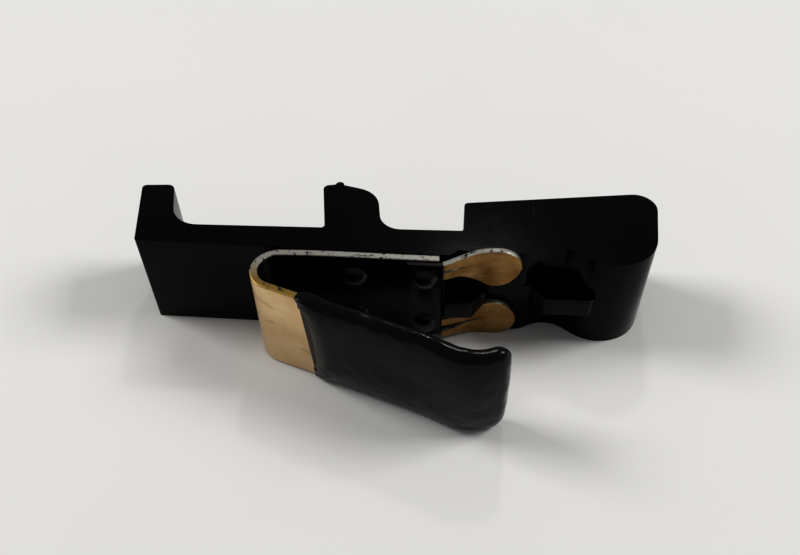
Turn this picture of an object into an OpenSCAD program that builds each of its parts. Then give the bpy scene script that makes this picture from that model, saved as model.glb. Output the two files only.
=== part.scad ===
// Spring clip ligature: a flat moulded bracket with two fingers and a head along one side,
// and a hairpin strip spring riveted to its straight wall. The free leg of the spring is the
// lever, dipped in vinyl; a two-pronged leaf under the same rivets bears beside the head.
// X runs along the wall towards the head, Y from the lever towards the fingers, Z up.
// The origin is on the resting face, in the middle of the overall footprint.

/* [Bracket] */
// Thickness of the bracket, from resting face to top face
body_t = 12.7; // [11:0.1:14]
// Distance from the wall's left corner to the head's far lower corner
body_len = 57.5; // [56.5:0.1:58.5]
// Depth of the bar at its left end
bar_depth = 2.85; // [2.7:0.05:3.2]
// How much deeper the bar is at the head than at the left end
bar_swell = 1.15; // [0.8:0.05:1.3]
// Height of the left finger above the wall
left_finger_h = 9.7; // [8:0.1:11]
// Width of the left finger across its top
left_finger_w = 3.8; // [3.2:0.1:4.4]
// Outward lean of the left finger at its top
left_finger_lean = 1.95; // [1:0.05:2.5]
// Distance from the wall's left corner to the middle finger's root
mid_finger_x = 20.95; // [19:0.1:22]
// Height of the middle finger above the wall
mid_finger_h = 11.2; // [10:0.1:12]
// Width of the middle finger
mid_finger_w = 6.4; // [5.5:0.1:6.8]
// Distance from the wall's left corner to the head's left face
head_x = 36.6; // [36:0.1:37.4]
// Height of the head at its left face
head_h = 8.75; // [8:0.05:9.5]
// Height of the head at its right end
head_end_h = 12; // [11.2:0.1:12.6]
// Radius of the lobe under the head
lobe_r = 5; // [4.6:0.1:5.1]
// Depth of the valley between the wall and the lobe, to its sharp apex
valley_depth = 2.75; // [2.3:0.05:3]
// How far the wall steps back behind the prongs
relief = 0.8; // [0.7:0.05:0.9]
// Height of the key rib on the seam between the halves
rib_t = 2.5; // [2:0.1:2.6]
// How far the key rib stands out between the prongs
rib_out = 2.5; // [1.6:0.1:2.8]

/* [Strip spring] */
// Thickness of the strip
strip_t = 0.85; // [0.7:0.01:0.95]
// Radius of the bend at the middle of the strip
bend_r = 2.6; // [2.3:0.05:2.8]
// Distance from the wall's left corner to the end of the riveted arm
arm_end_x = 34.15; // [33.9:0.05:34.3]
// Angle between the lever's root and the wall
lever_angle = 19; // [17:0.5:21]

/* [Vinyl coating] */
// Thickness of the coated lever at mid height
coat_t = 3.3; // [2.8:0.1:3.6]
// Height of the coated lever
coat_h = 12.9; // [12.8:0.05:13.2]
// Bare length of the lever between the bend and the coating
bare_len = 4.3; // [3.8:0.1:5]

/* [Forked leaf] */
// Thickness of the forked leaf
leaf_t = 0.6; // [0.5:0.05:0.65]
// Height of the leaf tips' outer edges above the resting face
leaf_top = 13.45; // [12.9:0.05:13.6]
// Height of each neck
neck_h = 2.6; // [2.2:0.1:3]
// Height of each leaf at its widest
leaf_h = 4.9; // [4.6:0.1:4.9]
// Distance from the wall's left corner to the leaf tips
leaf_tip_x = 43.2; // [42.6:0.1:43.4]

/* [Rivets] */
// Radius of a rivet head
head_r = 1.5; // [1.3:0.05:1.6]
// Height of a rivet head
head_rise = 0.75; // [0.5:0.05:0.9]
// Radius of a rivet shank
shank_r = 0.8; // [0.6:0.05:0.9]
// Length of shank inside the bracket
shank_len = 2.1; // [1.6:0.1:2.2]
// Distance of each arm rivet from mid height
arm_row = 3.05; // [2.8:0.05:3.3]
// Distance of each fork rivet from mid height
fork_row = 3.7; // [3.3:0.05:3.8]

/* [Hidden] */
$fn = 48;

black = [0.03, 0.03, 0.035];
dull_black = [0.09, 0.09, 0.09];
pale_brass = [0.72, 0.62, 0.44];
dark_brass = [0.50, 0.38, 0.20];

mid_z = body_t / 2;
hinge_gap = 0.12;      // between strips that flex about one line
bore_gap = 0.05;       // radial room round a rivet shank
arc_steps = 9;         // sides in each rounded corner

// Bracket outline
mid_finger_lean = 1.2;
far_x = body_len + 1.6;
apex_x = 47.25;
valley_rise = 0.54;
valley_fall = 0.76;
lobe_y = -0.35;
arm_rivet = [24.7, arm_row];
fork_rivet = [32.6, fork_row];
gate_r = 0.5;          // stub left where the moulding's gate was cut

// Strip spring
arm_flat = 11;         // stretch of the arm that lies on the wall
arm_bow = 6.5;         // stretch that lifts off the wall towards the bend
arm_lift = 3;          // degrees that the arm turns over that stretch
coat_edge = (coat_h - body_t) / 2;
core_h = body_t - 0.9; // the strip is narrower inside the coating
core_end = 0.9;        // coating past the end of the strip

// Forked leaf
fork_root_x = 30.6;
fork_root_edge = 1.1;  // the root plate is this much shorter at each edge
fork_mid = leaf_top / 2;
fork_x = arm_end_x + 0.35;
fork_y = -strip_t - leaf_t / 2;

// Rounded outlines: each entry of a list is [x, y, radius]
function unit(v) = v / norm(v);
function corner(a, b, c) =
    let (u = unit([a[0] - b[0], a[1] - b[1]]), w = unit([c[0] - b[0], c[1] - b[1]]),
         half = acos(u * w) / 2, m = unit(u + w), p = [b[0], b[1]],
         centre = p + m * b[2] / sin(half), s = p + u * b[2] / tan(half) - centre,
         e = p + w * b[2] / tan(half) - centre,
         turn = atan2(s[0] * e[1] - s[1] * e[0], s * e), from = atan2(s[1], s[0]))
    [for (i = [0:arc_steps]) centre + b[2] * [cos(from + turn * i / arc_steps),
                                              sin(from + turn * i / arc_steps)]];
function rounded(v) =
    [for (i = [0:len(v) - 1]) each corner(v[(i + len(v) - 1) % len(v)], v[i], v[(i + 1) % len(v)])];

// Paths in plan: each stretch is [length, turn in degrees], each point [x, y, heading]
turn_step = 6;
function chord(len, turn) = turn == 0 ? len : len * sin(turn / 2) / (turn / 2 * PI / 180);
function ahead(p, len, turn) =
    [p[0] + chord(len, turn) * cos(p[2] + turn / 2),
     p[1] + chord(len, turn) * sin(p[2] + turn / 2), p[2] + turn];
function stretch(p, len, turn) =
    let (n = max(2, ceil(abs(turn) / turn_step)))
    [for (i = [1:n]) ahead(p, len * i / n, turn * i / n)];
function walk(p, runs, i = 0) =
    i == len(runs) ? [p]
    : let (q = stretch(p, runs[i][0], runs[i][1])) concat([p], [for (k = [0:len(q) - 2]) q[k]],
        walk(q[len(q) - 1], runs, i + 1));
function beside(p, d) = [p[0] - d * sin(p[2]), p[1] + d * cos(p[2])];
function band(path, t) =
    concat([for (p = path) beside(p, -t / 2)],
           [for (i = [len(path) - 1:-1:0]) beside(path[i], t / 2)]);
function last(v) = v[len(v) - 1];

bar_slope = bar_swell / head_x;
function bar_y(x) = bar_depth + bar_slope * x;
valley_foot = apex_x - (valley_depth - relief) / valley_rise;
lobe_x = apex_x + (valley_depth - lobe_y) / valley_fall;
mid_right = mid_finger_x + mid_finger_w;

outline = [
    [0, 0, 0.4],
    [35.3, 0, 0.5],
    [36.1, relief, 0.5],
    [valley_foot, relief, 2],
    [apex_x, valley_depth, 3.6],
    [lobe_x, lobe_y, lobe_r],
    [body_len, lobe_y, lobe_r],
    [far_x, head_end_h, 2.4],
    [head_x, head_h, 0.5],
    [head_x, bar_y(head_x), 0.3],
    [mid_right, bar_y(mid_right), 2.5],
    [mid_right - 1, mid_finger_h - 1.2, 3.3],
    [mid_finger_x + 0.7, mid_finger_h, 0.8],
    [mid_finger_x - mid_finger_lean, mid_finger_h - 0.4, 0.7],
    [mid_finger_x, bar_y(mid_finger_x), 0.4],
    [3.6, bar_y(3.6), 3.4],
    [left_finger_w - left_finger_lean, left_finger_h + 0.1, 0.9],
    [-left_finger_lean, left_finger_h - 0.2, 0.5]
];
body_pts = rounded(outline);

// Key rib, notched where the leaves nearly meet
rib = [
    [34.8, 1.2, 0.2],
    [34.8, -rib_out, 0.4],
    [37.9, 0.3 - rib_out, 0.4],
    [39.9, relief, 0.4],
    [44.4, relief, 0.4],
    [46.1, -1.1, 0.4],
    [51.5, -1, 1],
    [52.5, 3, 0.4]
];

arm_path = walk([arm_end_x, -strip_t / 2, 180], [[arm_flat, 0], [arm_bow, arm_lift]]);
arm_tip = last(arm_path);
bend_c = beside(arm_tip, bend_r);
bend_turn = 180 - arm_lift - lever_angle;
lever_start = concat(beside([bend_c[0], bend_c[1], -lever_angle], -bend_r), -lever_angle);
lever_runs = [[6, 0], [6, 0], [2, -6.5], [2.1, 0], [4.8, 49.5]];
coat_start = ahead(lever_start, bare_len, 0);
core_path = walk(coat_start, concat([[0.6, 0]], lever_runs));
tip = last(core_path);

// Half-height and half-thickness of the coating at a point along it
tip_r = coat_t / 2;
tip_steps = 7;
mouth_len = 1.2;       // the coating thins out over this length at its start
function ring(p, half_t, half_h) =
    [for (i = [0:23]) let (a = i * 15, s = half_t * sign(cos(a)) * pow(abs(cos(a)), 0.8),
                           q = beside(p, s))
        [q[0], q[1], coat_h / 2 + half_h * sign(sin(a)) * pow(abs(sin(a)), 0.8)]];
coat_rings = concat(
    [ring(coat_start, strip_t / 2 + 0.25, coat_h / 2 - 0.1),
     ring(ahead(coat_start, mouth_len / 2, 0), coat_t / 2 * 0.82, coat_h / 2)],
    [for (i = [2:len(core_path) - 1]) ring(core_path[i], coat_t / 2, coat_h / 2)],
    [for (i = [1:tip_steps]) let (a = 84 * i / tip_steps)
        ring(ahead(tip, tip_r * sin(a), 0), tip_r * cos(a), coat_h / 2 - tip_r * (1 - cos(a)))]
);

leaf_path = walk([fork_x + hinge_gap, fork_y, 8],
                 [[0.6, 14], [1.7, 0], [2.2, -20], [6.3, -2]]);
root_path = walk([fork_root_x, fork_y, 0], [[fork_x - fork_root_x, 0]]);

all_x = concat([for (p = body_pts) p[0]], [0]);
coat_low = min([for (p = core_path) beside(p, -coat_t / 2)[1]]);
far_y = mid_finger_h + gate_r - 0.1;
x_mid = (min(all_x) + max(all_x)) / 2;
y_mid = (coat_low + far_y) / 2;

module place() {
    translate([-x_mid, -y_mid, 0]) children();
}

module slab(pts, low, high) {
    translate([0, 0, low]) linear_extrude(height = high - low) polygon(pts);
}

// Solid through rings that have the same number of points
module skin(rings) {
    n = len(rings[0]);
    m = len(rings);
    sides = [for (j = [0:m - 2], i = [0:n - 1]) each [
        [j * n + i, (j + 1) * n + i, (j + 1) * n + (i + 1) % n],
        [j * n + i, (j + 1) * n + (i + 1) % n, j * n + (i + 1) % n]]];
    polyhedron(points = [for (r = rings) each r],
               faces = concat([[for (i = [0:n - 1]) i]], sides,
                              [[for (i = [n - 1:-1:0]) (m - 1) * n + i]]));
}

// One half of the bracket, between two heights
module body_half(low, high, side) {
    rib_low = max(low, mid_z - rib_t / 2);
    rib_high = min(high, mid_z + rib_t / 2);
    difference() {
        union() {
            slab(body_pts, low, high);
            slab(rounded(rib), rib_low, rib_high);
            translate([mid_finger_x + 0.75, mid_finger_h - 0.1, low])
                cylinder(r = gate_r, h = high - low);
        }
        for (r = [arm_rivet, fork_rivet])
            translate([r[0], 0, mid_z + side * r[1]]) rotate([-90, 0, 0])
                translate([0, 0, -1]) cylinder(r = shank_r + bore_gap, h = shank_len + 1.1);
    }
}

module body_lower_half() {
    color(black) place() body_half(0, mid_z, -1);
}

module body_upper_half() {
    color(black) place() body_half(mid_z, body_t, 1);
}

module rivet_holes(r) {
    for (s = [-1, 1])
        translate([r[0], -3, mid_z + s * r[1]]) rotate([-90, 0, 0])
            cylinder(r = shank_r + bore_gap, h = 4);
}

module back_arm() {
    color(dull_black) place() difference() {
        slab(band(arm_path, strip_t), 0, body_t);
        rivet_holes(arm_rivet);
        rivet_holes(fork_rivet);
    }
}

module spring_bend() {
    color(pale_brass) place() translate([bend_c[0], bend_c[1], 0])
        rotate([0, 0, 90 + arm_lift]) rotate_extrude(angle = bend_turn)
            translate([bend_r - strip_t / 2, 0]) square([strip_t, body_t]);
}

module core() {
    slab(band(core_path, strip_t), (coat_h - core_h) / 2, (coat_h + core_h) / 2);
}

module lever_arm() {
    color(pale_brass) place() union() {
        slab(band([ahead(lever_start, hinge_gap, 0), coat_start], strip_t), 0, body_t);
        core();
    }
}

module lever_sleeve() {
    color(black) place() difference() {
        skin(coat_rings);
        slab(band(concat([ahead(coat_start, -1, 0)], core_path), strip_t),
             (coat_h - core_h) / 2, (coat_h + core_h) / 2);
    }
}

module fork_root() {
    color(dull_black) place() difference() {
        slab(band(root_path, leaf_t), fork_root_edge, leaf_top - fork_root_edge);
        rivet_holes(fork_rivet);
    }
}

// Outline of the upper prong, seen square to the wall
prong_face = [
    [fork_x + hinge_gap, leaf_top - 0.75, 0.2],
    [fork_x + hinge_gap, leaf_top - 0.75 - neck_h, 0.3],
    [37.2, leaf_top - 0.85 - neck_h, 1.5],
    [39.6, leaf_top - leaf_h, 1.6],
    [41.2, leaf_top - leaf_h, 1.2],
    [leaf_tip_x, leaf_top - 3.1, 0.9],
    [leaf_tip_x, leaf_top - 1.4, 0.9],
    [41.6, leaf_top, 1.6],
    [39, leaf_top, 2.5]
];

module prong() {
    intersection() {
        slab(band(leaf_path, leaf_t), 0, leaf_top + 1);
        translate([0, 6, 0]) rotate([90, 0, 0])
            linear_extrude(height = 12) polygon(rounded(prong_face));
    }
}

module upper_prong() {
    color(dark_brass) place() prong();
}

module lower_prong() {
    color(dark_brass) place() translate([0, 0, leaf_top]) mirror([0, 0, 1]) prong();
}

// A rivet along Y whose head seats at y = seat
module rivet(x, z, seat) {
    dome_r = (head_r * head_r + head_rise * head_rise) / (2 * head_rise);
    translate([x, seat, z]) rotate([90, 0, 0]) {
        intersection() {
            translate([0, 0, head_rise - dome_r]) sphere(r = dome_r);
            cylinder(r = head_r + 1, h = head_rise + 1);
        }
        translate([0, 0, -shank_len + seat]) cylinder(r = shank_r, h = shank_len - seat);
    }
}

module arm_rivets() {
    color(black) place() for (s = [-1, 1])
        rivet(arm_rivet[0], mid_z + s * arm_rivet[1], -strip_t);
}

module fork_rivets() {
    color(black) place() for (s = [-1, 1])
        rivet(fork_rivet[0], mid_z + s * fork_rivet[1], -strip_t - leaf_t);
}

body_lower_half();
body_upper_half();
back_arm();
spring_bend();
lever_arm();
lever_sleeve();
fork_root();
upper_prong();
lower_prong();
arm_rivets();
fork_rivets();
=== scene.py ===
from math import ceil, cos, pi, radians, sin, sqrt

import bmesh
import bpy
from mathutils import Matrix, Vector, noise


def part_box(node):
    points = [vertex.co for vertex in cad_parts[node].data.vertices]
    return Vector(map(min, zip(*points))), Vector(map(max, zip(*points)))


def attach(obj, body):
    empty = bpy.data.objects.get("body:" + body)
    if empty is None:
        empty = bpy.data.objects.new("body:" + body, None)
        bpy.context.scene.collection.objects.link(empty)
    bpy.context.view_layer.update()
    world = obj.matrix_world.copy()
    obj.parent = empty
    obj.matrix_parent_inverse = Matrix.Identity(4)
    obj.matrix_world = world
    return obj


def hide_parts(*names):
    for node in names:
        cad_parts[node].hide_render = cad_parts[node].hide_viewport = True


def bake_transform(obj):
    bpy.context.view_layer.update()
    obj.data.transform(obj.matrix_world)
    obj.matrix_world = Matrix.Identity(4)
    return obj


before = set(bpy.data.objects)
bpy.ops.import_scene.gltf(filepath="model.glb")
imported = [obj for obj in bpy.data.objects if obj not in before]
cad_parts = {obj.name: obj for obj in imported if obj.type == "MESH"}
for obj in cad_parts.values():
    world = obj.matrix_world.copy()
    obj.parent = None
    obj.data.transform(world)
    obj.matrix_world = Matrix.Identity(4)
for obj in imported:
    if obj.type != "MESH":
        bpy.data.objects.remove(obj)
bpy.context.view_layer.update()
mm = 0.001
samePlace = 0.001 * mm         # nearer than this is the same place
sameCorner = 1e-7              # CAD corners nearer than this are one corner
flatAngle = 0.4                # degrees: CAD facets that meet within this are one flat face
levelFace = 0.9999             # a face whose normal points up or down by more than this is level

# Lengths are in millimetres: x along the wall, y out from it with a minus sign, and z up.
# The end of the riveted arm gives their place.
armEndX = 34.15
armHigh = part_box("back_arm")[1]
shift = Vector((armHigh.x / mm - armEndX, armHigh.y / mm, 0))
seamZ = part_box("body_upper_half")[0].z

# a pair of rivets: its place along the wall, and how far above and below the seam they stand
armRivet = (24.7, 3.05)
forkRivet = (32.6, 3.7)


def at(x, y, z):
    return (Vector((x, y, z)) + shift) * mm


# Small helpers: pieces, edges, paths in plan, smooth lines through a few points

def newPiece(name, bm, materials, sharpAngle=32):
    for edge in bm.edges:
        edge.smooth = len(edge.link_faces) == 2 and edge.calc_face_angle(0) < radians(sharpAngle)
    for face in bm.faces:
        # level faces stay flat, so that no shading runs in from their rounded edges
        face.smooth = abs(face.normal.z) < levelFace
    mesh = bpy.data.meshes.new(name)
    bm.to_mesh(mesh)
    bm.free()
    for material in materials:
        mesh.materials.append(material)
    piece = bpy.data.objects.new(name, mesh)
    bpy.context.scene.collection.objects.link(piece)
    return piece


def mergedCopy(nodeName):
    # a CAD node's mesh is loose triangles: they are joined, and lines across flat faces removed
    bm = bmesh.new()
    bm.from_mesh(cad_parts[nodeName].data)
    bmesh.ops.remove_doubles(bm, verts=bm.verts, dist=sameCorner)
    bmesh.ops.dissolve_limit(bm, angle_limit=radians(flatAngle), verts=bm.verts, edges=bm.edges)
    return bm


def sharpEdges(bm, angle):
    return [e for e in bm.edges if len(e.link_faces) == 2 and e.calc_face_angle(0) > radians(angle)]


def roundEdges(bm, edges, radiusMm, segments=2, clamp=True):
    bmesh.ops.bevel(bm, geom=edges, offset=radiusMm * mm, affect="EDGES", segments=segments,
                    profile=0.5, material=-1, clamp_overlap=clamp)


def ahead(p, length, turn):
    half = radians(turn / 2)
    reach = length if turn == 0 else length * sin(half) / half
    way = radians(p[2]) + half
    return (p[0] + reach * cos(way), p[1] + reach * sin(way), p[2] + turn)


def walk(p, runs, step):
    # each run is a length and the degrees it turns through; the result is x, y, heading
    points = [p]
    for length, turn in runs:
        count = max(1, ceil(length / step))
        start = points[-1]
        points += [ahead(start, length * i / count, turn * i / count) for i in range(1, count + 1)]
    return points


def beside(p, distance):
    way = radians(p[2])
    return (p[0] - distance * sin(way), p[1] + distance * cos(way))


def smoothLine(points, x):
    # height of a smooth line through a few points, level before the first and after the last
    if x <= points[0][0]:
        return points[0][1]
    for i in range(len(points) - 1):
        x0, y0 = points[i]
        x1, y1 = points[i + 1]
        if x <= x1:
            before = points[max(i - 1, 0)]
            after = points[min(i + 2, len(points) - 1)]
            slope0 = (y1 - before[1]) / (x1 - before[0])
            slope1 = (after[1] - y0) / (after[0] - x0)
            span = x1 - x0
            t = (x - x0) / span
            return ((2 * t**3 - 3 * t**2 + 1) * y0 + (t**3 - 2 * t**2 + t) * slope0 * span
                    + (3 * t**2 - 2 * t**3) * y1 + (t**3 - t**2) * slope1 * span)
    return points[-1][1]


def ease(t):
    # 0 up to 0, 1 from 1 on, and a gentle rise between them
    t = min(max(t, 0), 1)
    return t * t * (3 - 2 * t)


# Materials

def linear(hexColour):
    parts = [int(hexColour[i:i + 2], 16) / 255 for i in (1, 3, 5)]
    return tuple(c / 12.92 if c <= 0.04045 else ((c + 0.055) / 1.055) ** 2.4 for c in parts) + (1,)


def addNode(tree, kind, inputs=(), **settings):
    # inputs pairs a socket's name or number with a value or with another node's output
    node = tree.nodes.new(kind)
    for key, value in settings.items():
        setattr(node, key, value)
    for key, value in inputs:
        if isinstance(value, bpy.types.NodeSocket):
            tree.links.new(value, node.inputs[key])
        else:
            node.inputs[key].default_value = value
    return node


def newMaterial(name, **sockets):
    material = bpy.data.materials.new(name)
    material.use_nodes = True
    tree = material.node_tree
    shader = tree.nodes["Principled BSDF"]
    for key, value in sockets.items():
        shader.inputs[key.replace("_", " ")].default_value = value
    place = addNode(tree, "ShaderNodeTexCoord").outputs["Object"]
    return material, tree, shader, place


def perMetre(sizeMm):
    # texture scale that gives features of this size
    return 1 / (sizeMm * mm)


def stretched(tree, place, scale, turn=0):
    return addNode(tree, "ShaderNodeMapping", [(0, place), ("Scale", scale),
                   ("Rotation", (0, 0, turn))]).outputs[0]


def noiseAt(tree, place, sizeMm, detail=3, roughness=0.5):
    return addNode(tree, "ShaderNodeTexNoise", [("Vector", place), ("Scale", perMetre(sizeMm)),
                   ("Detail", detail), ("Roughness", roughness)]).outputs[0]


def ramp(tree, value, stops):
    # each stop is a place from 0 to 1 and a grey level
    node = addNode(tree, "ShaderNodeValToRGB", [(0, value)])
    elements = node.color_ramp.elements
    for element, (position, grey) in zip(elements, stops):
        element.position = position
        element.color = (grey, grey, grey, 1)
    return node.outputs[0]


def mixed(tree, share, first, second):
    # first and second are hex colours or other nodes' outputs
    node = addNode(tree, "ShaderNodeMix", data_type="RGBA")
    for socket, value in ((0, share), (6, first), (7, second)):
        if isinstance(value, bpy.types.NodeSocket):
            tree.links.new(value, node.inputs[socket])
        elif isinstance(value, str):
            node.inputs[socket].default_value = linear(value)
        else:
            node.inputs[socket].default_value = value
    return node.outputs[2]


def mapped(tree, value, low, high):
    return addNode(tree, "ShaderNodeMapRange", [(0, value), (3, low), (4, high)]).outputs[0]


def bump(tree, shader, height, distanceMm, strength, under=None):
    inputs = [("Height", height), ("Distance", distanceMm * mm), ("Strength", strength)]
    if under is not None:
        inputs.append(("Normal", under))
    normal = addNode(tree, "ShaderNodeBump", inputs).outputs[0]
    tree.links.new(normal, shader.inputs["Normal"])
    return normal


def mouldedAbs():
    # black ABS moulded against a polished tool: deep gloss, faint orange peel, hairline handling marks
    look = {"colour": "#010102", "scuffed": "#030304", "roughness": (0.12, 0.26), "cloudMm": 7,
            "peelMm": 1.6, "peelDeepMm": 0.02, "scratchMm": 0.35, "scratchDeepMm": 0.002}
    material, tree, shader, place = newMaterial("glossBlackAbs", IOR=1.5, Specular_IOR_Level=0.1)
    cloud = noiseAt(tree, place, look["cloudMm"], 4)
    tree.links.new(mixed(tree, ramp(tree, cloud, [(0.5, 0), (0.75, 1)]), look["colour"],
                         look["scuffed"]), shader.inputs["Base Color"])
    scratch = noiseAt(tree, stretched(tree, place, (1, 0.06, 0.3), 0.5), look["scratchMm"], 2)
    scratchMask = ramp(tree, scratch, [(0.66, 0), (0.74, 1)])
    shine = mapped(tree, mixed(tree, 0.5, cloud, scratchMask), *look["roughness"])
    tree.links.new(shine, shader.inputs["Roughness"])
    peel = bump(tree, shader, noiseAt(tree, place, look["peelMm"], 2), look["peelDeepMm"], 0.5)
    bump(tree, shader, scratchMask, look["scratchDeepMm"], 0.25, peel)
    return material


def lacqueredStrip():
    # spring strip blackened with thin lacquer: dark, satin, rubbed along its length
    look = {"colour": "#050505", "rubbed": "#0e0d0c", "roughness": (0.2, 0.42), "grainMm": 0.5,
            "grainDeepMm": 0.006}
    material, tree, shader, place = newMaterial("blackLacquerOnStrip", IOR=1.5, Specular_IOR_Level=0.12)
    rub = noiseAt(tree, stretched(tree, place, (0.12, 0.12, 1)), look["grainMm"], 4)
    tree.links.new(mixed(tree, ramp(tree, rub, [(0.55, 0), (0.8, 1)]), look["colour"],
                         look["rubbed"]), shader.inputs["Base Color"])
    tree.links.new(mapped(tree, rub, *look["roughness"]), shader.inputs["Roughness"])
    bump(tree, shader, noiseAt(tree, place, look["grainMm"], 3), look["grainDeepMm"], 0.5)
    return material


def bareBrass():
    # rolled brass strip left bare: pale satin metal, rolling lines, tea-coloured stains, slow waves
    look = {"metal": "#e2caa2", "warm": "#d6b68c", "stain": "#b0926a", "roughness": (0.34, 0.6),
            "waveMm": 5, "waveDeepMm": 0.05, "stainMm": 2.2, "rollingMm": 0.22, "rollingDeepMm": 0.004}
    material, tree, shader, place = newMaterial("satinBareBrass", Metallic=1.0)
    wave = noiseAt(tree, place, look["waveMm"], 4, 0.55)
    tone = mixed(tree, ramp(tree, wave, [(0.4, 0), (0.65, 1)]), look["metal"], look["warm"])
    stain = ramp(tree, noiseAt(tree, stretched(tree, place, (0.5, 0.5, 1.4)), look["stainMm"], 5, 0.6),
                 [(0.58, 0), (0.68, 0.8)])
    tree.links.new(mixed(tree, stain, tone, look["stain"]), shader.inputs["Base Color"])
    rolling = noiseAt(tree, stretched(tree, place, (0.05, 0.05, 1)), look["rollingMm"], 2)
    tree.links.new(mapped(tree, mixed(tree, 0.4, wave, rolling), *look["roughness"]),
                   shader.inputs["Roughness"])
    lines = bump(tree, shader, rolling, look["rollingDeepMm"], 0.5)
    bump(tree, shader, wave, look["waveDeepMm"], 0.35, lines)
    return material


def wornRimAndPaintedSheen():
    # sheared edges of strip and leaf, their lacquer worn to specks; the grey on the arm and leaf edges
    # is a painted reflection of the pale ceiling on bare brass, and past the bend they keep the brass's
    # gold
    look = {"arm": "#a5a39a", "lever": "#93793f", "lacquer": "#2a2722", "roughness": (0.42, 0.7),
            "speckMm": 0.7, "speckDeepMm": 0.02, "sheenChangeY": (-4.6, -2.0)}
    material, tree, shader, place = newMaterial("wornStripEdgeAndPaintedSheen", Metallic=0.85)
    across = addNode(tree, "ShaderNodeSeparateXYZ", [(0, place)]).outputs[1]
    # the edge colour turns from gold on the lever to the painted grey reflection towards the wall
    leverSide, armSide = [at(0, y, 0).y for y in look["sheenChangeY"]]
    towardsPaintedArmSheen = addNode(tree, "ShaderNodeMapRange", [(0, across), (1, leverSide), (2, armSide)])
    tone = mixed(tree, towardsPaintedArmSheen.outputs[0], look["lever"], look["arm"])
    specks = ramp(tree, noiseAt(tree, place, look["speckMm"], 5, 0.65), [(0.56, 0), (0.62, 1)])
    tree.links.new(mixed(tree, specks, tone, look["lacquer"]), shader.inputs["Base Color"])
    tree.links.new(mapped(tree, specks, *look["roughness"]), shader.inputs["Roughness"])
    bump(tree, shader, specks, look["speckDeepMm"], 0.5)
    return material


def tarnishedBrass():
    # thin brass leaf gone brown: warmer and darker than the strip, polished where it rubs
    look = {"metal": "#b08c58", "dark": "#8a6636", "rubbed": "#c4a274", "roughness": (0.36, 0.6),
            "cloudMm": 3, "rubMm": 1.2, "grainMm": 0.4, "grainDeepMm": 0.01}
    material, tree, shader, place = newMaterial("tarnishedBrassLeaf", Metallic=1.0)
    cloud = noiseAt(tree, place, look["cloudMm"], 4, 0.6)
    tone = mixed(tree, ramp(tree, cloud, [(0.42, 0), (0.68, 1)]), look["metal"], look["dark"])
    rub = ramp(tree, noiseAt(tree, stretched(tree, place, (0.3, 1, 1)), look["rubMm"], 4),
               [(0.6, 0), (0.7, 0.6)])
    tree.links.new(mixed(tree, rub, tone, look["rubbed"]), shader.inputs["Base Color"])
    tree.links.new(mapped(tree, cloud, *look["roughness"]), shader.inputs["Roughness"])
    bump(tree, shader, noiseAt(tree, place, look["grainMm"], 3), look["grainDeepMm"], 0.6)
    return material


def dippedVinyl():
    # thick vinyl from a dip tank: soft gloss, slow sags, here and there a few pinholes
    look = {"colour": "#020203", "dull": "#060606", "roughness": (0.1, 0.24), "sagMm": 3.2,
            "sagDeepMm": 0.12, "pinholeMm": 1.5, "pinholeDeepMm": 0.06, "patchMm": 2.4}
    material, tree, shader, place = newMaterial("dippedBlackVinyl", IOR=1.5, Specular_IOR_Level=0.2)
    sag = noiseAt(tree, place, look["sagMm"], 3)
    tree.links.new(mixed(tree, ramp(tree, sag, [(0.45, 0), (0.7, 1)]), look["colour"],
                         look["dull"]), shader.inputs["Base Color"])
    tree.links.new(mapped(tree, sag, *look["roughness"]), shader.inputs["Roughness"])
    cells = addNode(tree, "ShaderNodeTexVoronoi", [("Vector", place),
                    ("Scale", perMetre(look["pinholeMm"]))]).outputs["Distance"]
    pinholes = ramp(tree, cells, [(0.05, 0), (0.16, 1)])
    smoothPatch = ramp(tree, noiseAt(tree, place, look["patchMm"], 1), [(0.56, 1), (0.6, 0)])
    sags = bump(tree, shader, sag, look["sagDeepMm"], 0.6)
    bump(tree, shader, mixed(tree, smoothPatch, pinholes, "#ffffff"), look["pinholeDeepMm"], 0.7, sags)
    return material


def rivetBlack():
    # small domed rivets, blackened with the bracket: gloss, broken by a fine grain
    look = {"colour": "#060607", "worn": "#131211", "roughness": (0.12, 0.3), "grainMm": 0.5,
            "grainDeepMm": 0.01}
    material, tree, shader, place = newMaterial("blackenedRivet", IOR=1.5, Specular_IOR_Level=0.3)
    grain = noiseAt(tree, place, look["grainMm"], 4)
    tree.links.new(mixed(tree, grain, look["colour"], look["worn"]), shader.inputs["Base Color"])
    tree.links.new(mapped(tree, grain, *look["roughness"]), shader.inputs["Roughness"])
    bump(tree, shader, grain, look["grainDeepMm"], 0.4)
    return material


absBlack = mouldedAbs()
lacquer = lacqueredStrip()
brass = bareBrass()
rimWearAndSheen = wornRimAndPaintedSheen()
leafBrass = tarnishedBrass()
vinyl = dippedVinyl()
rivetFinish = rivetBlack()
print("materials ready")


# Bracket halves: the CAD shape with its moulded edges rounded over

bracket = {
    "edgeAngle": 25,           # degrees: edges sharper than this are rounded
    "edgeRadius": 0.3,
    "edgeSegments": 4,
    "seamBreak": 0.05,
    "boreReach": 1.0,          # a bore's edges lie this near to its rivet, along the wall,
    "boreBand": (1.9, 4.2),    # and this far above or below the seam
}


def onSeam(edge):
    return all(abs(v.co.z - seamZ) < samePlace for v in edge.verts)


def isBore(edge):
    # rivet bores keep plain edges, all but the outermost part of the fork's, which its plate hides
    middle = (edge.verts[0].co + edge.verts[1].co) / 2
    nearRivet = any(abs(middle.x - at(x, 0, 0).x) < bracket["boreReach"] * mm
                    for x, row in (armRivet, forkRivet))
    low, high = bracket["boreBand"]
    return nearRivet and low * mm < abs(middle.z - seamZ) < high * mm


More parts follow.
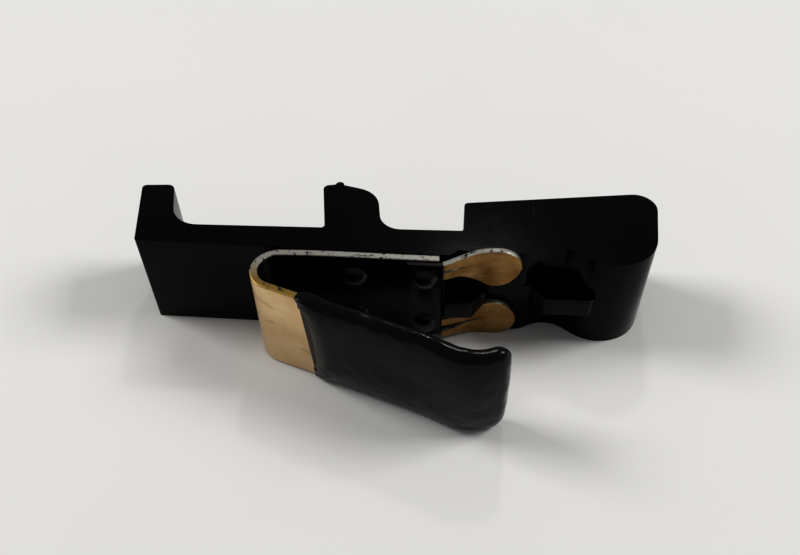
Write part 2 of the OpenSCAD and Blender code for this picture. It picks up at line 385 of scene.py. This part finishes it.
def bracketHalf(nodeName, pieceName):
    bm = mergedCopy(nodeName)
    outer = [e for e in sharpEdges(bm, bracket["edgeAngle"]) if not onSeam(e) and not isBore(e)]
    roundEdges(bm, outer, bracket["edgeRadius"], bracket["edgeSegments"])
    seam = [e for e in sharpEdges(bm, bracket["edgeAngle"]) if onSeam(e)]
    roundEdges(bm, seam, bracket["seamBreak"], 1)
    piece = newPiece(pieceName, bm, [absBlack])
    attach(piece, "root")
    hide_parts(nodeName)


bracketHalf("body_lower_half", "bracketLower")
bracketHalf("body_upper_half", "bracketUpper")
print("bracket ready")


# Strip spring: one ribbon from the riveted end round the bend and on inside the vinyl

strip = {
    "thickness": 0.85,
    "height": (0.1, 12.58),
    "armRuns": [(11, 0), (6.5, 3)],
    "armStep": 0.6,
    "bendRadius": 2.6,
    "bendStep": 0.16,
    "leverAngle": 19,
    "bareLength": 4.3,
    "coreRuns": [(12.6, 0), (2, -6.5), (2.1, 0), (4.8, 49.5)],
    "leverStep": 0.4,
    "edgeAngle": 60,
    "edgeRadius": 0.12,
    "rimSlope": 0.35,          # faces that point up or down by more than this are the sheared rim
}


def stripPath():
    arm = walk((armEndX, -strip["thickness"] / 2, 180), strip["armRuns"], strip["armStep"])
    turn = 180 - strip["armRuns"][1][1] - strip["leverAngle"]
    bend = walk(arm[-1], [(radians(turn) * strip["bendRadius"], turn)], strip["bendStep"])
    leverStart = (bend[-1][0], bend[-1][1], -strip["leverAngle"])
    bare = walk(leverStart, [(strip["bareLength"], 0)], strip["leverStep"])
    core = walk(bare[-1], strip["coreRuns"], strip["leverStep"])
    return arm, bend, bare, core


armPath, bendPath, barePath, corePath = stripPath()


def stripSpring():
    path = armPath + bendPath[1:] + barePath[1:] + corePath[1:]
    low, high = strip["height"]
    bm = bmesh.new()
    # the ribbon is drawn on its outer side, facing out of the hairpin, and thickens inwards
    verts = [bm.verts.new(at(*beside(p, -strip["thickness"] / 2), low)) for p in path]
    edges = [bm.edges.new(pair) for pair in zip(verts, verts[1:])]
    raised = bmesh.ops.extrude_edge_only(bm, edges=edges)["geom"]
    bmesh.ops.translate(bm, vec=(0, 0, (high - low) * mm),
                        verts=[v for v in raised if isinstance(v, bmesh.types.BMVert)])
    bmesh.ops.recalc_face_normals(bm, faces=bm.faces)
    wallSide = max(bm.faces, key=lambda f: f.calc_center_median().y)
    if wallSide.normal.y < 0:
        bmesh.ops.reverse_faces(bm, faces=bm.faces)
    bmesh.ops.solidify(bm, geom=list(bm.faces), thickness=strip["thickness"] * mm)
    bmesh.ops.recalc_face_normals(bm, faces=bm.faces)
    roundEdges(bm, sharpEdges(bm, strip["edgeAngle"]), strip["edgeRadius"], clamp=False)
    centre = at(*beside(bendPath[0], strip["bendRadius"]), 0)
    for face in bm.faces:
        # lacquer lies on the arm and inside the hairpin, and the outside is bare brass
        place = face.calc_center_median()
        inwards = centre - place
        if place.x > centre.x:
            inwards.x = 0
        inwards.z = 0
        # the top and bottom edges take the worn edge finish, grey on the arm as a painted reflection of
        # the ceiling
        onRim = abs(face.normal.z) > strip["rimSlope"]
        onArm = place.x > centre.x and place.y > centre.y
        blackened = onArm or face.normal.dot(inwards) > 0
        face.material_index = 2 if onRim else 0 if blackened else 1
    piece = newPiece("stripSpring", bm, [lacquer, brass, rimWearAndSheen])
    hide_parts("back_arm", "spring_bend", "lever_arm")
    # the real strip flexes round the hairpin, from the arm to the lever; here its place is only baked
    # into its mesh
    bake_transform(piece)


stripSpring()
print("strip spring ready")


# Vinyl sleeve: rings drawn along the lever, with sags, a ragged dip line and a rounded end

sleeve = {
    "thickness": 3.3,
    "height": 12.8,
    "lift": 0.02,              # its lowest line stands this far above the table
    "sides": 128,
    "ringStep": 0.35,
    "squareness": 2.5,         # 2 is an ellipse, more is boxier
    "mouthLength": 3.4,        # the coat thickens over this length
    "mouthSteps": 9,
    "mouthSkin": 0.05,         # thickness of the coat at the dip line
    "mouthLip": 0.12,          # share of the full thickness that it gains at once past the dip line
    "mouthInset": 0.16,        # its top and bottom stand this far in at the dip line
    "mouthSquareness": 9,      # squareness added at the dip line
    "mouthCalm": 0.85,         # share of the dip line's swing that the end of the mouth has lost
    "mouthDrift": 0.1,         # how much the ripples change from one ring of the mouth to the next
    "mouthGap": 0.2,           # least distance from the mouth's end to the first plain ring
    # how far along the lever the dip line stands at each height
    "dipLine": [(0, 0.66), (2, 0.95), (6, 0.95), (8, 0.8), (9.5, 0.4), (11, -0.05), (12.6, -0.65)],
    "ragged": 0.34,
    # each ripple of the dip line: its share, and how quickly it changes up and across the strip
    "ripples": [(1, 1.9, 2), (0.7, 4.3, 3)],
    "sag": 0.10,
    # the slow and the small sags: share, how quickly they change, and where their pattern starts
    "sagLayers": [(1, 0.33, (0, 0, 0)), (0.5, 0.9, (7, 1, 3))],
    "sagFrom": 3,              # the sags have their full depth this far past the start of the coat
    "tipAngle": 84,            # degrees of the rounded end, which a small flat closes
    "tipSteps": 9,
    "edgeAngle": 50,
}


def sleeveRing(p, halfT, halfH, power, swing=0.0, seed=0.0):
    # a rounded box across the lever; swing is how much of the dip line it follows
    ring = []
    for i in range(sleeve["sides"]):
        a = 2 * pi * i / sleeve["sides"]
        across = halfT * (1 if cos(a) >= 0 else -1) * abs(cos(a)) ** (2 / power)
        up = halfH * (1 if sin(a) >= 0 else -1) * abs(sin(a)) ** (2 / power)
        q = p
        if swing:
            slip = smoothLine(sleeve["dipLine"], halfH + up)
            jag = sum(share * noise.noise(Vector((up * rise, across * reach, seed + 5 * layer)))
                      for layer, (share, rise, reach) in enumerate(sleeve["ripples"]))
            q = ahead(p, swing * (slip + sleeve["ragged"] * jag), 0)
        x, y = beside(q, across)
        ring.append(at(x, y, sleeve["height"] / 2 + sleeve["lift"] + up))
    return ring


def sleeveRings():
    # the mouth, the plain length that follows the lever, and the rounded tip
    halfH = sleeve["height"] / 2
    halfT = sleeve["thickness"] / 2
    skin = strip["thickness"] / 2 + sleeve["mouthSkin"]
    lip = sleeve["mouthLip"]
    start = barePath[-1]
    rings = []
    for i in range(sleeve["mouthSteps"] + 1):
        t = i / sleeve["mouthSteps"]
        grow = sin(pi / 2 * t) * (1 - lip) + lip * (t > 0)
        rings.append(sleeveRing(ahead(start, t * sleeve["mouthLength"], 0),
                                skin + (halfT - skin) * grow,
                                halfH - sleeve["mouthInset"] * (1 - grow),
                                sleeve["mouthSquareness"] * (1 - t) ** 2 + sleeve["squareness"],
                                1 - sleeve["mouthCalm"] * t, i * sleeve["mouthDrift"]))
    body = walk(start, strip["coreRuns"], sleeve["ringStep"])
    length = 0
    for previous, p in zip(body, body[1:]):
        length += sqrt((p[0] - previous[0]) ** 2 + (p[1] - previous[1]) ** 2)
        if length > sleeve["mouthLength"] + sleeve["mouthGap"]:
            rings.append(sleeveRing(p, halfT, halfH, sleeve["squareness"]))
    for i in range(1, sleeve["tipSteps"] + 1):
        a = radians(sleeve["tipAngle"] * i / sleeve["tipSteps"])
        rings.append(sleeveRing(ahead(body[-1], halfT * sin(a), 0), halfT * cos(a),
                                halfH - halfT * (1 - cos(a)), sleeve["squareness"]))
    return rings


def vinylSleeve():
    rings = sleeveRings()
    bm = bmesh.new()
    verts = bmesh.ops.create_circle(bm, segments=sleeve["sides"], radius=mm)["verts"]
    for vert, place in zip(verts, rings[0]):
        vert.co = place
    mouth = list(bm.edges)
    edges = mouth
    for ring in rings[1:]:
        geom = bmesh.ops.extrude_edge_only(bm, edges=edges)["geom"]
        fresh = [g for g in geom if isinstance(g, bmesh.types.BMVert)]
        edges = [g for g in geom if isinstance(g, bmesh.types.BMEdge)
                 and all(v in geom for v in g.verts)]
        for vert, place in zip(fresh, ring):
            vert.co = place
    bmesh.ops.contextual_create(bm, geom=edges)
    bmesh.ops.contextual_create(bm, geom=mouth)
    bmesh.ops.recalc_face_normals(bm, faces=bm.faces)
    bm.normal_update()
    mouthX = at(*barePath[-1][:2], 0).x
    for vert in bm.verts:
        local = vert.co / mm
        sag = sum(share * noise.noise(local * grain + Vector(start))
                  for share, grain, start in sleeve["sagLayers"])
        depth = ease((vert.co.x - mouthX) / (sleeve["sagFrom"] * mm))
        vert.co -= vert.normal * abs(sag) * sleeve["sag"] * depth * mm
    piece = newPiece("vinylSleeve", bm, [vinyl], sleeve["edgeAngle"])
    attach(piece, "lever")
    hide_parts("lever_sleeve")


vinylSleeve()
print("vinyl sleeve ready")


# Forked leaf: a plate under the rivets and two slit, spade-ended prongs

leaf = {
    "thickness": 0.62,
    "start": 34.62,
    "tip": 43.2,
    "mid": 6.725,              # the prongs mirror about this height
    "outer": [(34.6, 12.65), (37, 13), (39.2, 13.38), (41.2, 13.4), (42.3, 12.85), (42.95, 12.1),
              (43.2, 11.2)],
    "inner": [(34.6, 10.1), (36.6, 10.0), (38.2, 9.1), (40, 8.2), (41.6, 8.5), (42.8, 9.8),
              (43.2, 10.9)],
    "slitLow": [(34.6, 11.15), (37, 11.2), (40.2, 11.0)],
    "slitHigh": [(34.6, 11.85), (37, 11.6), (40.2, 11.0)],
    "slitEnd": 40.2,
    "slitShare": 0.52,         # the slit heads for this share of the width,
    "slitPull": 0.8,           # and its lower side goes this much of the way to it
    "slitTaper": 0.4,          # past this share of its length it narrows to nothing
    "columns": 44,
    "crowding": 1.25,          # above 1, the columns crowd towards the tip
    "innerRows": 7,            # rows of the grid between the inner edge and the slit
    "outerRows": 5,            # and between the slit and the outer edge
    "standOff": 0.3,           # the leaf's path starts this far in front of the strip,
    "startAngle": 8,           # and leans this many degrees towards the wall
    "runs": [(0.6, 14), (1.7, 0), (2.2, -20), (6.3, -2)],
    "pathStep": 0.05,
    "forward": 0.12,           # its front face stands this far in front of its path
    "flangeOut": 0.35,         # the outer band stands this much further forward at the neck
    "dish": 0.11,              # the spade end is hollowed by this much,
    "dishX": (37, 39),         # coming in between these places along it
    "dishZ": (10.6, 3),        # about this height, and to this far above and below it
    "floorGap": 0.04,          # the front face's corners stay this far above the table
    "cornerGap": 0.01,         # corners nearer than this are one, which closes the slit's end
    "edgeAngle": 60,
    "edgeRadius": 0.08,
    "rimSlope": 0.55,          # faces that point up or down by more than this are cut edges
    "smoothAngle": 40,
}


def leafHeight(x, row):
    # height of a row of the grid, for the upper prong: inner rows, the slit, then outer rows
    inner, outer = smoothLine(leaf["inner"], x), smoothLine(leaf["outer"], x)
    low, high = smoothLine(leaf["slitLow"], x), smoothLine(leaf["slitHigh"], x)
    middle = inner + (outer - inner) * leaf["slitShare"]
    share = (x - leaf["start"]) / (leaf["slitEnd"] - leaf["start"])
    if x >= leaf["slitEnd"]:
        low = high = middle
    else:
        low += (middle - low) * ease(share) * leaf["slitPull"]
        high = low + (high - low) * (1 - share) if share > leaf["slitTaper"] else high
    if row <= leaf["innerRows"]:
        return inner + (low - inner) * row / leaf["innerRows"]
    return high + (outer - high) * (row - leaf["innerRows"] - 1) / leaf["outerRows"]


def leafFront(path, x, z, row):
    # how far out from the wall the front face stands there
    neck = 1 - ease((x - leaf["start"]) / (leaf["slitEnd"] - leaf["start"]))
    flange = leaf["flangeOut"] * neck if row > leaf["innerRows"] else 0
    dishStart, dishFull = leaf["dishX"]
    dishMid, dishReach = leaf["dishZ"]
    dish = leaf["dish"] * ease((x - dishStart) / (dishFull - dishStart))
    dish *= 1 - ((z - dishMid) / dishReach) ** 2
    p = min(path, key=lambda q: abs(q[0] - x))
    return beside(p, -(flange + leaf["forward"]) + dish)[1]


def prong(name, nodeName, flip):
    path = walk((leaf["start"], -strip["thickness"] - leaf["standOff"], leaf["startAngle"]),
                leaf["runs"], leaf["pathStep"])
    rows = leaf["innerRows"] + leaf["outerRows"] + 1
    bm = bmesh.new()
    bmesh.ops.create_grid(bm, x_segments=leaf["columns"], y_segments=rows, size=0.5)
    slit = set()
    for vert in bm.verts:
        u = vert.co.x + 0.5
        row = round((vert.co.y + 0.5) * rows)
        x = leaf["start"] + (leaf["tip"] - leaf["start"]) * (1 - (1 - u) ** leaf["crowding"])
        z = leafHeight(x, row)
        y = leafFront(path, x, z, row)
        if x < leaf["slitEnd"] and row in (leaf["innerRows"], leaf["innerRows"] + 1):
            slit.add(vert)
        vert.co = at(x, y, max(2 * leaf["mid"] - z if flip else z, leaf["floorGap"]))
    gap = [f for f in bm.faces if all(v in slit for v in f.verts)]
    bmesh.ops.delete(bm, geom=gap, context="FACES")
    bmesh.ops.remove_doubles(bm, verts=bm.verts, dist=leaf["cornerGap"] * mm)
    bmesh.ops.recalc_face_normals(bm, faces=bm.faces)
    if sum(f.normal.y for f in bm.faces) > 0:
        # the sheet has to face out from the wall, so that it thickens towards it
        bmesh.ops.reverse_faces(bm, faces=bm.faces)
    bmesh.ops.solidify(bm, geom=list(bm.faces), thickness=leaf["thickness"] * mm)
    bmesh.ops.recalc_face_normals(bm, faces=bm.faces)
    roundEdges(bm, sharpEdges(bm, leaf["edgeAngle"]), leaf["edgeRadius"])
    for face in bm.faces:
        # the cut edges are rubbed, and their pale grey is a painted reflection of the ceiling
        face.material_index = 1 if abs(face.normal.z) > leaf["rimSlope"] else 0
    piece = newPiece(name, bm, [leafBrass, rimWearAndSheen], leaf["smoothAngle"])
    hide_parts(nodeName)
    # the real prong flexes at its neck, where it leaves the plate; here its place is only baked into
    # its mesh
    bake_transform(piece)


prong("upperProng", "upper_prong", False)
prong("lowerProng", "lower_prong", True)

forkPlate = {"edgeAngle": 60, "edgeRadius": 0.1}


def forkRoot():
    bm = mergedCopy("fork_root")
    roundEdges(bm, sharpEdges(bm, forkPlate["edgeAngle"]), forkPlate["edgeRadius"])
    piece = newPiece("forkRootPlate", bm, [lacquer])
    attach(piece, "root")
    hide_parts("fork_root")


forkRoot()
print("forked leaf ready")


# Rivets: domed heads spun about their own axis, on plain shanks

rivet = {
    "headRadius": 1.48,
    "rise": 0.74,
    "domeSteps": 8,
    "sides": 40,
    "shankRadius": 0.8,
    "shankDepth": 2.1,         # the shanks end this deep in the wall
    "armSeat": -0.85,          # the arm rivets' heads sit on the strip,
    "forkSeat": -1.45,         # and the fork rivets' heads on the plate in front of it
}


def rivetPair(name, nodeName, place, seat):
    x, row = place
    bm = bmesh.new()
    dome = (rivet["headRadius"] ** 2 + rivet["rise"] ** 2) / (2 * rivet["rise"])
    foot = seat - rivet["shankDepth"]
    for side in (-1, 1):
        profile = []
        for i in range(rivet["domeSteps"] + 1):
            r = rivet["headRadius"] * i / rivet["domeSteps"]
            profile.append((r, rivet["rise"] - dome + sqrt(dome ** 2 - r ** 2)))
        profile += [(rivet["headRadius"], 0), (rivet["shankRadius"], 0),
                    (rivet["shankRadius"], foot), (0, foot)]
        z = seamZ / mm + side * row
        verts = [bm.verts.new(at(x, seat - out, z + r)) for r, out in profile]
        edges = [bm.edges.new(pair) for pair in zip(verts, verts[1:])]
        bmesh.ops.spin(bm, geom=verts + edges, cent=at(x, 0, z), axis=(0, 1, 0), angle=2 * pi,
                       steps=rivet["sides"], use_merge=True)
    bmesh.ops.remove_doubles(bm, verts=bm.verts, dist=samePlace)
    bmesh.ops.recalc_face_normals(bm, faces=bm.faces)
    piece = newPiece(name, bm, [rivetFinish])
    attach(piece, "root")
    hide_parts(nodeName)


rivetPair("armRivets", "arm_rivets", armRivet, rivet["armSeat"])
rivetPair("forkRivets", "fork_rivets", forkRivet, rivet["forkSeat"])
print("rivets ready")


# Table, lamps and camera

studio = {
    "table": "#e2e1de",
    "tableCloud": "#dedddb",
    "tableCloudMm": 40,
    "tableGrainMm": 1.2,
    "tableGrainDeepMm": 0.02,
    "tableHalf": 1.2,          # metres from its middle to each side
    "tableBack": 0.3,          # metres that its middle stands behind the object
    "lampPower": 3.7,
    "lampSize": 0.3,
    "lampReach": 0.8,
    "lampUp": 42,              # degrees above the table
    "lampBack": 0.18,          # how far round behind the object they stand, where 0 is beside it
    "sparkPower": 0.5,
    "sparkSize": 0.05,
    "sparkWay": (0.05, 0.75, 0.9),
    "roomLight": 0.28,
    "contrast": 0.78,
    "eye": (35.496, -62.128, 73.923),
    "turn": 5.3,
    "tiltUp": 43.78,
    "roll": -0.97,
    "lens": 36,
    "filmWidth": 36,
}


def table():
    bm = bmesh.new()
    bmesh.ops.create_grid(bm, x_segments=1, y_segments=1, size=studio["tableHalf"])
    bmesh.ops.translate(bm, vec=(0, studio["tableBack"], 0), verts=bm.verts)
    material, tree, shader, place = newMaterial("paleTable", Roughness=0.75, IOR=1.4)
    cloud = noiseAt(tree, place, studio["tableCloudMm"])
    tree.links.new(mixed(tree, cloud, studio["table"], studio["tableCloud"]),
                   shader.inputs["Base Color"])
    bump(tree, shader, noiseAt(tree, place, studio["tableGrainMm"]), studio["tableGrainDeepMm"], 0.25)
    floor = newPiece("table", bm, [material])


def lamp(name, direction, size, power):
    light = bpy.data.lights.new(name, "AREA")
    light.size = size
    light.energy = power
    holder = bpy.data.objects.new(name, light)
    place = Vector(direction).normalized() * studio["lampReach"]
    holder.location = place
    holder.rotation_euler = (-place).to_track_quat("-Z", "Y").to_euler()
    bpy.context.scene.collection.objects.link(holder)


def lamps():
    up = radians(studio["lampUp"])
    for side, name in ((-1, "lampLeft"), (1, "lampRight")):
        lamp(name, (side * cos(up), studio["lampBack"], sin(up)), studio["lampSize"],
             studio["lampPower"])
    # a small ceiling lamp behind draws the fine bright lines along rounded edges
    lamp("lampSpark", studio["sparkWay"], studio["sparkSize"], studio["sparkPower"])


def camera():
    lens = bpy.data.cameras.new("camera")
    lens.lens = studio["lens"]
    lens.sensor_width = studio["filmWidth"]
    lens.clip_start = 0.005
    holder = bpy.data.objects.new("camera", lens)
    turn = (Matrix.Rotation(radians(studio["turn"]), 4, "Z")
            @ Matrix.Rotation(radians(studio["tiltUp"]), 4, "X")
            @ Matrix.Rotation(radians(studio["roll"]), 4, "Z"))
    holder.matrix_world = Matrix.Translation(at(*studio["eye"])) @ turn
    bpy.context.scene.collection.objects.link(holder)
    bpy.context.scene.camera = holder


def room():
    world = bpy.data.worlds.new("room")
    world.use_nodes = True
    shade = world.node_tree.nodes["Background"]
    shade.inputs["Color"].default_value = linear("#ffffff")
    shade.inputs["Strength"].default_value = studio["roomLight"]
    bpy.context.scene.world = world
    view = bpy.context.scene.view_settings
    view.view_transform = "Standard"
    view.gamma = studio["contrast"]


table()
lamps()
camera()
room()
print("studio ready")
